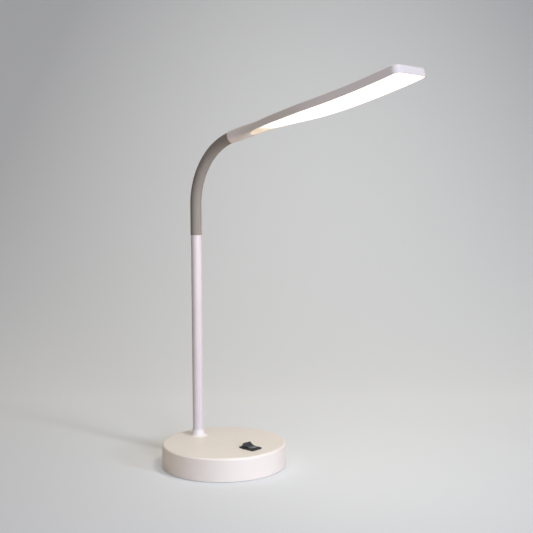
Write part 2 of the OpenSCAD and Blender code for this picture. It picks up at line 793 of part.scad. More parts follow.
// Ferrule that joins the core to the head: the core's last stretch, then a plug in the head's neck
module ferrule_head() {
    s0 = hinge_s(hinges);
    color([0.7, 0.7, 0.72]) difference() {
        union() {
            neck_bar(s0, neck_len, core_r);
            along_neck(neck_len) translate([0, 0, -ball_root])
                cylinder(r = head_plug_r, h = plug_len + ball_root);
        }
        cup(hinges);
        neck_bar(s0, neck_len, core_bore_r);
        along_neck(neck_len) translate([0, 0, -bore_step])
            cylinder(r = core_bore_r + bore_step, h = plug_len + through);
    }
}

// ---------------------------------------------------------------- lead to the lights

lead_foot = [
    [left_plug_x, lamp_block[1], plug_z], [left_plug_x - 3, lamp_block[1], plug_z],
    [stem_x + 13, -4, 8], [stem_x + 7, -1, 6.5], [stem_x + 2, 0, 7.5], [stem_x, 0, nipple_z],
    [stem_x, 0, nipple_z + 4]
];

module lamp_lead(i) {
    s0 = hinge_s(i) + lead_gap;
    s1 = hinge_s(i + 1) - lead_gap;
    in_grip = [for (t = [0:0.25:1]) neck_point(s0 + (neck_len - s0) * t)];
    color("white") {
        if (i == 0) wire(concat(smooth(lead_foot), [neck_point(base_grip - lead_gap)]), lead_r, 12);
        else if (i == hinges) wire(concat(in_grip, lead_in_head()), lead_r, 12);
        else neck_bar(s0, s1, lead_r);
    }
}

// ---------------------------------------------------------------- head

// Share of a change between a and b that is done at s, with a soft start and a soft end
function eased(s, a, b) = let (t = min(max((s - a) / (b - a), 0), 1)) t * t * (3 - 2 * t);
// Where an arc of length s has got to, when its slope goes from a0 to a1 over the length l
function arc_at(a0, a1, l, s) = let (k = (a1 - a0) * PI / 180 / l, a = a0 + (a1 - a0) * s / l)
    [(sin(a) - sin(a0)) / k, (cos(a0) - cos(a)) / k];
// Slope of the head's middle line above level at distance s from the neck's end
function slope(s) = s < dip_at ? neck_slope + (dip_slope - neck_slope) * s / dip_at
    : dip_slope + (tip_slope - dip_slope) * (s - dip_at) / (head_len - dip_at);
// Height and reach of the head's middle line at distance s
function spine(s) = head_start + (s < dip_at ? arc_at(neck_slope, dip_slope, dip_at, s)
    : arc_at(neck_slope, dip_slope, dip_at, dip_at)
        + arc_at(dip_slope, tip_slope, head_len - dip_at, s - dip_at));
// A point of the head: s along it, y across it and n above its middle line
function head_point(s, y, n) = let (p = spine(s), a = slope(s)) [p[0] - n * sin(a), y, p[1] + n * cos(a)];

// Half the head's width and half its thickness at s, without the corners at its tip
function half_w(s) = head_neck_r + (head_half_w - head_neck_r) * eased(s, flare_from, flare_to)
    - (head_half_w - tip_half_w) * max(s - flare_to, 0) / (head_len - flare_to);
function half_t(s) = head_neck_r + (head_half_t - head_neck_r) * eased(s, thin_from, thin_to);
// How much a round corner of radius r takes off the width at s, where the length ends at end
function corner_cut(s, end, r) = s <= end - r ? 0 : r - sqrt(max(r * r - pow(s - end + r, 2), 0));
// Radii of the section's top and bottom edges
function top_r(s) = half_t(s) + (top_edge_r - half_t(s)) * eased(s, thin_from, top_round_to);
function bottom_r(s) = half_t(s) + (bottom_edge_r - half_t(s)) * eased(s, thin_from, bottom_round_to);

// Stations along the head: close together where it turns, wide apart where it is straight
function stations(from, to, step) = let (n = ceil((to - from) / step))
    [for (i = [0:n]) from + (to - from) * i / n];
function tip_stations(end, r) = [for (a = [15:15:90]) end - r + r * sin(a)];
neck_end_stations = [for (a = [0:30:90]) neck_edge_r * (1 - cos(a))];

// One section of the head's outer form, as points [y, n] round a box with two edge radii
function section(w, top, bottom, rt, rb) = concat(
    [for (i = [0:corner_steps]) let (a = 90 * i / corner_steps)
        [w - rt + rt * cos(a), top - rt + rt * sin(a)]],
    [for (i = [0:corner_steps]) let (a = 90 + 90 * i / corner_steps)
        [-w + rt + rt * cos(a), top - rt + rt * sin(a)]],
    [for (i = [0:corner_steps]) let (a = 180 + 90 * i / corner_steps)
        [-w + rb + rb * cos(a), -bottom + rb + rb * sin(a)]],
    [for (i = [0:corner_steps]) let (a = 270 + 90 * i / corner_steps)
        [w - rb + rb * cos(a), -bottom + rb + rb * sin(a)]]
);

// Skin over a list of sections, each a list of points in space
module loft(rings) {
    n = len(rings[0]);
    last = len(rings) - 1;
    walls = [for (i = [0:last - 1], k = [0:n - 1])
        let (a = i * n + k, b = i * n + (k + 1) % n)
            each [[a, b + n, b], [a, a + n, b + n]]];
    polyhedron([for (r = rings) each r], concat(walls, [[for (k = [0:n - 1]) k]],
        [[for (k = [n - 1:-1:0]) last * n + k]]));
}

function head_ring(s) = let (
    start = corner_cut(neck_edge_r - min(s, neck_edge_r), neck_edge_r, neck_edge_r),
    w = half_w(s) - corner_cut(s, head_len, tip_corner_r) - start,
    top = half_t(s) - corner_cut(s, head_len, top_edge_r) - start,
    bottom = half_t(s) - corner_cut(s, head_len, bottom_edge_r) - start,
    rt = min(top_r(s), top - least_flat, w), rb = min(bottom_r(s), bottom - least_flat, w))
    [for (p = section(w, top, bottom, rt, rb)) head_point(s, p[0], p[1])];

module head_body() {
    at = concat(neck_end_stations, stations(4 * neck_edge_r, thin_to, close_step),
        stations(thin_to + spine_step, head_len - tip_corner_r, spine_step),
        tip_stations(head_len, tip_corner_r));
    loft([for (s = at) head_ring(s)]);
}

// How wide the panel's opening is at s: a round start, then the head's width less the rim
function panel_w(s, inset) = let (
    from = panel_from + inset,
    full = half_w(s) - rim_w - inset - corner_cut(s, panel_end - inset, tip_corner_r - rim_w - inset),
    t = min((s - from) / panel_round, 1))
    full * sqrt(max(1 - (1 - t) * (1 - t), 0.01));

function panel_stations(inset) = concat(
    [for (a = [5:17:90]) panel_from + inset + panel_round * (1 - cos(a))],
    stations(panel_from + inset + panel_round + close_step, panel_end - inset - tip_corner_r, spine_step),
    tip_stations(panel_end - inset, tip_corner_r - rim_w - inset));

// A flat band that follows the head, between two heights given from its bottom or its top face
module band(inset, low, high) {
    loft([for (s = panel_stations(inset)) let (w = panel_w(s, inset))
        [for (c = [[w, high(s)], [-w, high(s)], [-w, low(s)], [w, low(s)]]) head_point(s, c[0], c[1])]]);
}

module head_shell() {
    color([0.92, 0.9, 0.93]) difference() {
        head_body();
        band(0, function(s) -half_t(s) - through, function(s) -half_t(s) + panel_inset + panel_t);
        band(ledge_w, function(s) -half_t(s) + panel_inset, function(s) half_t(s) - skin_t);
        along_neck(neck_len) translate([0, 0, -through])
            cylinder(r = head_plug_r + plug_fit, h = plug_len + plug_fit + through);
        translate(head_point(plug_len - through, 0, 0)) rotate([0, 90 - slope(plug_len), 0])
            cylinder(r = lead_r + 0.5, h = panel_from + panel_round / 2 - plug_len + through);
    }
}

module light_panel() {
    color([1, 0.99, 0.96]) band(panel_gap, function(s) -half_t(s) + panel_inset,
        function(s) -half_t(s) + panel_inset + panel_t - board_gap);
}

solder_gap = 0.06;
board_to = head_len - board_end_gap;
first_light = board_from + light_end_gap;
light_pitch = (board_to - light_end_gap - first_light) / (lights_per_row - 1);
function board_w(s) = half_w(s) - rim_w - ledge_w - board_side_gap
    - corner_cut(s, board_to, tip_corner_r - rim_w - ledge_w);
function board_face(s) = half_t(s) - skin_t - board_gap;

module light_board() {
    color([0.95, 0.95, 0.95])
        loft([for (s = concat(stations(board_from, board_to - tip_corner_r, spine_step),
            tip_stations(board_to, tip_corner_r - rim_w - ledge_w)))
            [for (c = [[1, 0], [-1, 0], [-1, -board_t], [1, -board_t]])
                head_point(s, c[0] * board_w(s), board_face(s) + c[1])]]);
}

module lights() {
    color([1, 0.9, 0.5]) for (i = [0:lights_per_row - 1], side = [-1, 1]) {
        s = first_light + i * light_pitch;
        y = side * max(board_w(s) - light_edge_gap - light_size[1] / 2, light_size[1]);
        translate(head_point(s, y, board_face(s) - board_t - solder_gap - light_size[2] / 2))
            rotate([0, -slope(s), 0])
            cube(light_size, center = true);
    }
}

// From the neck's end, in line with the ferrule, to the light board
function lead_in_head() = [for (t = [0.1:0.1:1])
    let (s = t * board_from, rise = eased(s, panel_from, board_from))
        head_point(s, 0, rise * (board_face(board_from) - board_t - lead_r))];

// ---------------------------------------------------------------- nodes

base_cover();
base_plate();
foam_pad();
ballast();
ballast_screws();
plate_screws();
stem_tube();
stem_nipple();
stem_washer();
stem_nut();
switch_housing();
rocker();
switch_terminals();
power_inlet();
inlet_pin();
driver_board();
driver_parts();
driver_screws();
inlet_leads();
switch_leads();
ferrule_base();
ferrule_head();
for (i = [1:neck_links]) neck_core(i);
for (i = [0:hinges]) neck_sleeve(i);
for (i = [0:hinges]) lamp_lead(i);
head_shell();
light_panel();
light_board();
lights();
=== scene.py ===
"""Looks of the gooseneck desk lamp: camera, studio, finishes, and finer meshes for head and sleeve.

Everything is in metres in the part's own frame: the origin is on the table under the middle of the
base, +Z is up and the head points to +X.
"""
import json
import math

import bmesh
import bpy
from mathutils import Matrix, Vector


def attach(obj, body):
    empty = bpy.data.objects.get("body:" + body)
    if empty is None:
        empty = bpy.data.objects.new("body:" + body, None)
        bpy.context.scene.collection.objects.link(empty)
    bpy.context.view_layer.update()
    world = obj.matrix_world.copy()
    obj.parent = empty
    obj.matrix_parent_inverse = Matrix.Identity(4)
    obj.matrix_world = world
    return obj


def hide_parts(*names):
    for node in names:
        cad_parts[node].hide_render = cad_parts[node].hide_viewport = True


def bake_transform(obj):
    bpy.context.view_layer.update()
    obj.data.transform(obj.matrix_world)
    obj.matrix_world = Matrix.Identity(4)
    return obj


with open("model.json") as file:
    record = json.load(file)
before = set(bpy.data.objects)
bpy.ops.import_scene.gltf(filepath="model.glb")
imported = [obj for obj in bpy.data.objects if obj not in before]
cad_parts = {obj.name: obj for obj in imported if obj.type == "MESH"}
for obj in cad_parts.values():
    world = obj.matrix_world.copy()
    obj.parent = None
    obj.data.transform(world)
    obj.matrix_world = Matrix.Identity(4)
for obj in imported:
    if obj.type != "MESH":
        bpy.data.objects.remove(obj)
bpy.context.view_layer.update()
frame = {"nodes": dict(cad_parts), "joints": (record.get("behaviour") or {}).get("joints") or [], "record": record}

MM = 0.001

# ---------------------------------------------------------------- camera

IMAGE_SIZE = 533            # pixels, square
FOCAL_PX = 950.0            # focal length in pixels of that image
SENSOR_MM = 36.0
CAMERA_CLIP = 50.0
CAMERA_PITCH = 0.0788       # radians below level
CAMERA_ROLL = 0.0044        # radians
LAMP_TURN = 0.7546          # radians from the camera's right to where the head points
# Right of, in front of and above the base's middle.
CAMERA_PLACE = Vector((0.0493, -1.0610, 0.3093))

# The studio's axes are the camera's: X to its right, Y away from it. The lamp stands turned in it.
studio = Matrix.Rotation(LAMP_TURN, 4, "Z")


def in_studio(right, away, up):
    """Place in the part's frame of a point given in the studio's axes."""
    return studio @ Vector((right, away, up))


def make_camera():
    forward = Vector((0.0, math.cos(CAMERA_PITCH), -math.sin(CAMERA_PITCH)))
    level = Vector((1.0, 0.0, 0.0))
    down = forward.cross(level)
    c, s = math.cos(CAMERA_ROLL), math.sin(CAMERA_ROLL)
    right = c * level + s * down
    below = c * down - s * level
    turn = Matrix((right, -below, -forward)).transposed().to_4x4()
    data = bpy.data.cameras.new("camera")
    data.sensor_fit = "HORIZONTAL"
    data.sensor_width = SENSOR_MM
    data.lens = FOCAL_PX / IMAGE_SIZE * SENSOR_MM
    data.clip_end = CAMERA_CLIP
    camera = bpy.data.objects.new("camera", data)
    camera.matrix_world = studio @ Matrix.Translation(CAMERA_PLACE) @ turn
    bpy.context.scene.collection.objects.link(camera)
    bpy.context.scene.camera = camera


make_camera()

# ---------------------------------------------------------------- sizes of the lamp

STEM_X = -0.043
STEM_TOP = 0.260

NECK_R = 0.006375
SLEEVE_BORE_R = 0.00505
NECK_STRAIGHT = 0.034       # the neck's upright length, before its bend
BEND_R = 0.077
BEND_ANGLE = math.radians(76)
BEND_LEN = BEND_R * BEND_ANGLE
NECK_LEN = NECK_STRAIGHT + BEND_LEN
BASE_GRIP = 0.0185          # of the neck, held at the stem
HEAD_GRIP = 0.0091          # of the neck, held at the head
BEND_LINKS = 6

# Along the head, s runs from its neck end to its tip; n is up across it.
HEAD_LEN = 0.244
HEAD_HALF_W = 0.0259
TIP_HALF_W = 0.025
HEAD_HALF_T = 0.0042
HEAD_NECK_R = 0.0072        # of its round neck end
NECK_SLOPE = math.radians(14)
DIP_SLOPE = math.radians(8.8)
TIP_SLOPE = math.radians(16.7)
DIP_AT = 0.085              # where the slope is least
FLARE = (0.008, 0.136)      # where it widens
THIN = (0.011, 0.052)       # where it thins
TOP_ROUND_TO = 0.140        # where its upper edges have become tight
BOTTOM_ROUND_TO = 0.046
TIP_CORNER_R = 0.007
TOP_EDGE_R = 0.0014
BOTTOM_EDGE_R = 0.0006
NECK_EDGE_R = 0.001
RIM_W = 0.0013              # of the housing's rim round the panel
LIP_R = 0.00015             # rounding of the rim's inner edge
LIP_SHARE = 0.25            # at most this share of the flat part's half-width
PANEL_FROM = 0.031
PANEL_END = HEAD_LEN - RIM_W
PANEL_ROUND = 0.012         # length over which the panel's neck end comes to its full width
PANEL_T = 0.0015
PANEL_INSET = 0.00025       # of its face below the rim
PANEL_GAP = 0.00015         # round it
PANEL_PLAY = 0.00005        # above it
PANEL_BEVEL = 0.00012
PANEL_LEAST_HALF_W = 0.0003

# ---------------------------------------------------------------- materials

DRIFT_SCALE = 22.0          # waves per metre of a moulding's slow drift in tone
NOISE_LOW, NOISE_HIGH = 0.3, 0.7    # most values of a noise texture lie between these
COAT_ROUGHNESS = 0.2
FINE_DEPTH = 0.01 * MM      # height of the grain on metal and acrylic
FINE_GRAIN = 900.0          # waves per metre of that grain


def new_material(name):
    material = bpy.data.materials.new(name)
    material.use_nodes = True
    tree = material.node_tree
    tree.nodes.clear()
    out = tree.nodes.new("ShaderNodeOutputMaterial")
    shader = tree.nodes.new("ShaderNodeBsdfPrincipled")
    tree.links.new(shader.outputs["BSDF"], out.inputs["Surface"])
    return material, tree, shader


def noise(tree, scale, detail, stretch=(1.0, 1.0, 1.0)):
    """Noise in the part's own frame; scale is in waves per metre."""
    where = tree.nodes.new("ShaderNodeTexCoord")
    mapping = tree.nodes.new("ShaderNodeMapping")
    mapping.inputs["Scale"].default_value = stretch
    texture = tree.nodes.new("ShaderNodeTexNoise")
    texture.inputs["Scale"].default_value = scale
    texture.inputs["Detail"].default_value = detail
    tree.links.new(where.outputs["Object"], mapping.inputs["Vector"])
    tree.links.new(mapping.outputs["Vector"], texture.inputs["Vector"])
    return texture.outputs["Fac"]


def ramp(tree, source, low, high, first, last):
    """Spread a texture's values from low to high between two colours."""
    node = tree.nodes.new("ShaderNodeValToRGB")
    node.color_ramp.elements[0].position = low
    node.color_ramp.elements[1].position = high
    node.color_ramp.elements[0].color = first + (1.0,)
    node.color_ramp.elements[1].color = last + (1.0,)
    tree.links.new(source, node.inputs["Fac"])
    return node.outputs["Color"]


def vary_color(tree, shader, source, color, tone):
    """Let the colour wander between color and one that is darker by the share tone."""
    dark = tuple(c * (1.0 - tone) for c in color)
    tree.links.new(ramp(tree, source, NOISE_LOW, NOISE_HIGH, dark, color),
                   shader.inputs["Base Color"])


def vary_gloss(tree, shader, source, roughness, share):
    """Let the roughness wander by a share of itself to both sides."""
    smooth, rough = roughness * (1.0 - share), min(roughness * (1.0 + share), 1.0)
    tree.links.new(ramp(tree, source, NOISE_LOW, NOISE_HIGH, (smooth,) * 3, (rough,) * 3),
                   shader.inputs["Roughness"])


def add_bump(tree, shader, source, depth):
    bump = tree.nodes.new("ShaderNodeBump")
    bump.inputs["Distance"].default_value = depth
    bump.inputs["Strength"].default_value = 1.0
    tree.links.new(source, bump.inputs["Height"])
    tree.links.new(bump.outputs["Normal"], shader.inputs["Normal"])


def moulded(name, color, roughness, grain=1400.0, depth=0.02 * MM, tone=0.03, metallic=0.0,
            coat=0.0, specular=0.5):
    """Moulded plastic, paint or rubber: a fine grain, slightly uneven gloss and a drift in tone."""
    material, tree, shader = new_material(name)
    shader.inputs["Metallic"].default_value = metallic
    shader.inputs["Coat Weight"].default_value = coat
    shader.inputs["Coat Roughness"].default_value = COAT_ROUGHNESS
    shader.inputs["Specular IOR Level"].default_value = specular
    vary_color(tree, shader, noise(tree, DRIFT_SCALE, detail=2.0), color, tone)
    fine = noise(tree, grain, detail=4.0)
    vary_gloss(tree, shader, fine, roughness, share=0.15)
    add_bump(tree, shader, fine, depth)
    return material


def metal(name, color, roughness, stretch=(1.0, 1.0, 1.0)):
    """Plated or turned metal, its grain drawn out along the axes where stretch is small."""
    material, tree, shader = new_material(name)
    shader.inputs["Metallic"].default_value = 1.0
    grain = noise(tree, FINE_GRAIN, detail=4.0, stretch=stretch)
    vary_color(tree, shader, grain, color, tone=0.12)
    vary_gloss(tree, shader, grain, roughness, share=0.3)
    add_bump(tree, shader, grain, FINE_DEPTH)
    return material


OPAL_COLOR = (0.9, 0.89, 0.86)
OPAL_ROUGHNESS = 0.35
PANEL_WARM = (1.0, 0.70, 0.33)      # glow at the panel's dim end by the neck
PANEL_WHITE = (1.0, 0.97, 0.91)
WARM_FROM, WARM_TO = 0.0585, 0.0867  # along X
WHITE_AT = 0.45             # share of that length by which the glow has turned white
PANEL_DIM, PANEL_GLOW = 0.29, 1.4


def opal():
    """Opal acrylic lit from behind: white, and dim and warm where the lights begin."""
    material, tree, shader = new_material("opal_acrylic")
    shader.inputs["Base Color"].default_value = OPAL_COLOR + (1.0,)
    shader.inputs["Roughness"].default_value = OPAL_ROUGHNESS
    where = tree.nodes.new("ShaderNodeTexCoord")
    split = tree.nodes.new("ShaderNodeSeparateXYZ")
    along = tree.nodes.new("ShaderNodeMapRange")
    along.interpolation_type = "SMOOTHSTEP"
    along.inputs["From Min"].default_value = WARM_FROM
    along.inputs["From Max"].default_value = WARM_TO
    tree.links.new(where.outputs["Object"], split.inputs["Vector"])
    tree.links.new(split.outputs["X"], along.inputs["Value"])
    tree.links.new(ramp(tree, along.outputs["Result"], 0.0, WHITE_AT, PANEL_WARM, PANEL_WHITE),
                   shader.inputs["Emission Color"])
    strength = tree.nodes.new("ShaderNodeMapRange")
    strength.inputs["To Min"].default_value = PANEL_DIM
    strength.inputs["To Max"].default_value = PANEL_GLOW
    tree.links.new(along.outputs["Result"], strength.inputs["Value"])
    tree.links.new(strength.outputs["Result"], shader.inputs["Emission Strength"])
    add_bump(tree, shader, noise(tree, FINE_GRAIN, detail=3.0), FINE_DEPTH)
    return material


WHITE_PLASTIC = (0.80, 0.77, 0.765)
WHITE_PAINT = (0.674, 0.622, 0.666)
HEAD_WHITE = (0.787, 0.738, 0.746)

slots = {
    "cover": moulded("cover_plastic", WHITE_PLASTIC, 0.38, depth=0.012 * MM),
    "plate": moulded("plate_plastic", WHITE_PLASTIC, 0.55),
    "foam": moulded("foam", (0.035, 0.035, 0.037), 0.9,
                    grain=2500.0, depth=0.15 * MM, tone=0.3),
    "ballast": moulded("cast_iron", (0.10, 0.105, 0.11), 0.75,
                       grain=500.0, depth=0.2 * MM, tone=0.25, metallic=0.6),
    "zinc": metal("zinc", (0.62, 0.63, 0.65), 0.35),
    "stem": moulded("powder_coat", WHITE_PAINT, 0.32, grain=1100.0, depth=0.015 * MM),
    "brass": metal("brass", (0.72, 0.52, 0.22), 0.3),
    "switch": moulded("switch_nylon", (0.018, 0.018, 0.022), 0.32,
                      grain=1800.0, depth=0.01 * MM, tone=0.15),
    "rocker": moulded("rocker_nylon", (0.016, 0.018, 0.026), 0.22,
                      grain=1800.0, depth=0.006 * MM, tone=0.15, coat=0.8),
    "contact": metal("tin", (0.72, 0.72, 0.74), 0.28),
    "board": moulded("solder_mask", (0.02, 0.12, 0.05), 0.35, grain=1600.0, tone=0.2),
    "parts": moulded("components", (0.02, 0.02, 0.022), 0.5, tone=0.2),
    "red_wire": moulded("red_insulation", (0.42, 0.02, 0.015), 0.45, tone=0.1),
    "grey_wire": moulded("grey_insulation", (0.10, 0.10, 0.105), 0.45, tone=0.1),
    "lead": moulded("white_insulation", (0.75, 0.75, 0.73), 0.45, tone=0.05),
    "ferrule": metal("turned_steel", (0.60, 0.60, 0.62), 0.3, stretch=(1.0, 1.0, 6.0)),
    "core": metal("spring_steel", (0.32, 0.33, 0.35), 0.4),
    "sleeve": moulded("silicone", (0.274, 0.251, 0.233), 0.75,
                      grain=2200.0, depth=0.03 * MM, tone=0.06, specular=0.2),
    "head": moulded("head_plastic", HEAD_WHITE, 0.36, depth=0.012 * MM),
    "opal": opal(),
    "led_board": moulded("white_solder_mask", (0.75, 0.75, 0.75), 0.4, tone=0.05),
    "led": moulded("phosphor", (0.80, 0.60, 0.12), 0.35, tone=0.1),
}


def dress(obj, slot):
    obj.data.materials.clear()
    obj.data.materials.append(slots[slot])


node_slot = {part["node"]: part["material_slot"] for part in frame["record"]["subparts"]}
for node, obj in frame["nodes"].items():
    dress(obj, node_slot[node])

# ---------------------------------------------------------------- piece helpers

SHARP_ANGLE = math.radians(32)
SAME_PLACE = 0.002 * MM     # points nearer than this are one point


def shade(obj):
    mesh = obj.data
    mesh.polygons.foreach_set("use_smooth", [True] * len(mesh.polygons))
    mesh.set_sharp_from_angle(angle=SHARP_ANGLE)


def add_piece(name, points, faces, slot, body=None, nodes=()):
    """A mesh piece in the part's frame, hung on a body when one is given."""
    mesh = bpy.data.meshes.new(name)
    mesh.from_pydata([tuple(p) for p in points], [], faces)
    shape = bmesh.new()
    shape.from_mesh(mesh)
    bmesh.ops.remove_doubles(shape, verts=shape.verts, dist=SAME_PLACE)
    bmesh.ops.dissolve_degenerate(shape, edges=shape.edges, dist=SAME_PLACE)
    bmesh.ops.recalc_face_normals(shape, faces=shape.faces)
    shape.to_mesh(mesh)
    shape.free()
    mesh.update()
    obj = bpy.data.objects.new(name, mesh)
    bpy.context.scene.collection.objects.link(obj)
    dress(obj, slot)
    shade(obj)
    if body:
        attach(obj, body)
    if nodes:
        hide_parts(*nodes)
    return obj


def skin(rings):
    """Points and faces of a solid over a list of rings; its two ends are flat faces."""
    n = len(rings[0])
    last = len(rings) - 1
    faces = [(i * n + k, i * n + (k + 1) % n, (i + 1) * n + (k + 1) % n, (i + 1) * n + k)
             for i in range(last) for k in range(n)]
    faces.append(tuple(range(n - 1, -1, -1)))
    faces.append(tuple(last * n + k for k in range(n)))
    return [p for ring in rings for p in ring], faces


def ring_tube(rings):
    """Points and faces of a closed tube: a list of rings of which the last joins the first."""
    n, count = len(rings[0]), len(rings)
    faces = [(i * n + k, i * n + (k + 1) % n, j * n + (k + 1) % n, j * n + k)
             for i, j in ((i, (i + 1) % count) for i in range(count)) for k in range(n)]
    return [p for ring in rings for p in ring], faces


def spread(a, b, step):
    """Even places from a up to but not including b, at most step apart."""
    n = max(1, math.ceil((b - a) / step))
    return [a + (b - a) * i / n for i in range(n)]


# ---------------------------------------------------------------- centre line


def neck_lean(s):
    return 0.0 if s <= NECK_STRAIGHT else (s - NECK_STRAIGHT) / BEND_R


def neck_point(s):
    a = neck_lean(s)
    if s <= NECK_STRAIGHT:
        return Vector((STEM_X, 0.0, STEM_TOP + s))
    return Vector((STEM_X + BEND_R * (1.0 - math.cos(a)), 0.0,
                   STEM_TOP + NECK_STRAIGHT + BEND_R * math.sin(a)))


def head_slope(s):
    if s < DIP_AT:
        return NECK_SLOPE + (DIP_SLOPE - NECK_SLOPE) * s / DIP_AT
    return DIP_SLOPE + (TIP_SLOPE - DIP_SLOPE) * (s - DIP_AT) / (HEAD_LEN - DIP_AT)


def arc_at(a0, a1, length, s):
    """Place after s along an arc whose slope goes from a0 to a1 over its length."""
    k = (a1 - a0) / length
    a = a0 + k * s
    return Vector(((math.sin(a) - math.sin(a0)) / k, (math.cos(a0) - math.cos(a)) / k))


def spine(s):
    """The head's centre line in X and Z: two arcs that meet at its dip."""
    start = neck_point(NECK_LEN).xz
    if s < DIP_AT:
        return start + arc_at(NECK_SLOPE, DIP_SLOPE, DIP_AT, s)
    return (start + arc_at(NECK_SLOPE, DIP_SLOPE, DIP_AT, DIP_AT)
            + arc_at(DIP_SLOPE, TIP_SLOPE, HEAD_LEN - DIP_AT, s - DIP_AT))


def head_point(s, y, n):
    p, a = spine(s), head_slope(s)
    return Vector((p[0] - n * math.sin(a), y, p[1] + n * math.cos(a)))


# ---------------------------------------------------------------- head

LEAST_FLAT = 0.05 * MM      # the least that is left flat between two rounded edges
TOP_STEPS = 4
EDGE_STEPS = 12             # of each rounded edge
LIP_STEPS = 4
TIP_STEPS = 40              # of the rounded corners at the tip
PANEL_TIP_STEPS = 14        # of the panel's, inside them
NECK_STEP = 1.2 * MM        # between rings, up to the panel
FINE_STEP = 1.5 * MM        # along the panel's first part, where the section changes
PLAIN_STEP = 3.0 * MM       # along the rest of it
PLAIN_FROM = 0.146


def eased(s, a, b):
    t = min(max((s - a) / (b - a), 0.0), 1.0)
    return t * t * (3.0 - 2.0 * t)


def half_w(s):
    past = max(s - FLARE[1], 0.0) / (HEAD_LEN - FLARE[1])
    return (HEAD_NECK_R + (HEAD_HALF_W - HEAD_NECK_R) * eased(s, *FLARE)
            - (HEAD_HALF_W - TIP_HALF_W) * past)


def half_t(s):
    return HEAD_NECK_R + (HEAD_HALF_T - HEAD_NECK_R) * eased(s, *THIN)


def top_r(s):
    return half_t(s) + (TOP_EDGE_R - half_t(s)) * eased(s, THIN[0], TOP_ROUND_TO)


def bottom_r(s):
    return half_t(s) + (BOTTOM_EDGE_R - half_t(s)) * eased(s, THIN[0], BOTTOM_ROUND_TO)


def corner_cut(s, end, r):
    """How much a corner of radius r takes off at s, before an end."""
    return 0.0 if s <= end - r else r - math.sqrt(max(r * r - (s - end + r) ** 2, 0.0))


def panel_w(s, inset):
    """Half-width of the panel's opening, or of the panel for an inset above zero."""
    start = PANEL_FROM + inset
    corner = corner_cut(s, PANEL_END - inset, TIP_CORNER_R - RIM_W - inset)
    t = min(max((s - start) / PANEL_ROUND, 0.0), 1.0)
    return (half_w(s) - RIM_W - inset - corner) * math.sqrt(max(1.0 - (1.0 - t) ** 2, 0.0))


def quarter(steps):
    """Angles that part a quarter circle into steps."""
    return [math.radians(90.0 * i / steps) for i in range(steps + 1)]


def round_start(start, r, angles):
    """Places along s at which a rounded start of length r has turned by the angles in degrees."""
    return [start + r * (1.0 - math.cos(math.radians(a))) for a in angles]


def round_end(end, r, steps):
    """Places along s that part a rounded end of length r evenly by angle."""
    return [end - r + r * math.sin(a) for a in quarter(steps)]


def along_panel(start, end, corner, angles):
    """Places of the rings along the panel or its opening; angles are those of its rounded start."""
    return (round_start(start, PANEL_ROUND, angles)
            + spread(start + PANEL_ROUND, PLAIN_FROM, FINE_STEP)
            + spread(PLAIN_FROM, end - corner, PLAIN_STEP)
            + round_end(end, corner, PANEL_TIP_STEPS))


def half_section(s):
    """Right half of the head's section as (y, n), from the top's middle to the bottom's flat part.

    Also how far from the middle that flat part begins, and how low it is.
    """
    start = corner_cut(NECK_EDGE_R - min(s, NECK_EDGE_R), NECK_EDGE_R, NECK_EDGE_R)
    w = half_w(s) - corner_cut(s, HEAD_LEN, TIP_CORNER_R) - start
    top = half_t(s) - corner_cut(s, HEAD_LEN, TOP_EDGE_R) - start
    bottom = half_t(s) - corner_cut(s, HEAD_LEN, BOTTOM_EDGE_R) - start
    rt = min(top_r(s), top - LEAST_FLAT, w)
    rb = min(bottom_r(s), bottom - LEAST_FLAT, w)
    points = [((w - rt) * k / TOP_STEPS, top) for k in range(TOP_STEPS)]
    points += [(w - rt + rt * math.sin(a), top - rt + rt * math.cos(a))
               for a in quarter(EDGE_STEPS)]
    points += [(w - rb + rb * math.cos(a), -bottom + rb - rb * math.sin(a))
               for a in quarter(EDGE_STEPS)]
    return points, w - rb, -bottom


def head_ring(s, recess):
    """One ring of the housing; recess says whether the panel's opening is cut into it here."""
    points, flat, low = half_section(s)
    lip = min(LIP_R, flat * LIP_SHARE)
    u = min(max(panel_w(s, 0.0), LEAST_FLAT), flat - lip)
    depth = PANEL_INSET + PANEL_T if recess else 0.0
    points += [(u + lip - lip * math.sin(a), low + (lip - lip * math.cos(a) if recess else 0.0))
               for a in quarter(LIP_STEPS)]
    points += [(u, low + depth), (u / 2.0, low + depth), (0.0, low + depth)]
    left = [(-y, n) for y, n in points[-2:0:-1]]
    return [head_point(s, y, n) for y, n in points + left]


def make_head():
    before = (round_start(0.0, NECK_EDGE_R, range(0, 90, 10))
              + spread(NECK_EDGE_R, PANEL_FROM, NECK_STEP) + [PANEL_FROM])
    opening = along_panel(PANEL_FROM, PANEL_END, TIP_CORNER_R - RIM_W, range(0, 90, 5))
    tip = [s for s in round_end(HEAD_LEN, TIP_CORNER_R, TIP_STEPS) if s > PANEL_END]
    rings = ([head_ring(s, False) for s in before] + [head_ring(s, True) for s in opening]
             + [head_ring(s, False) for s in [PANEL_END] + tip])
    points, faces = skin(rings)
    return add_piece("head_housing", points, faces, "head", "head", ["head_shell"])


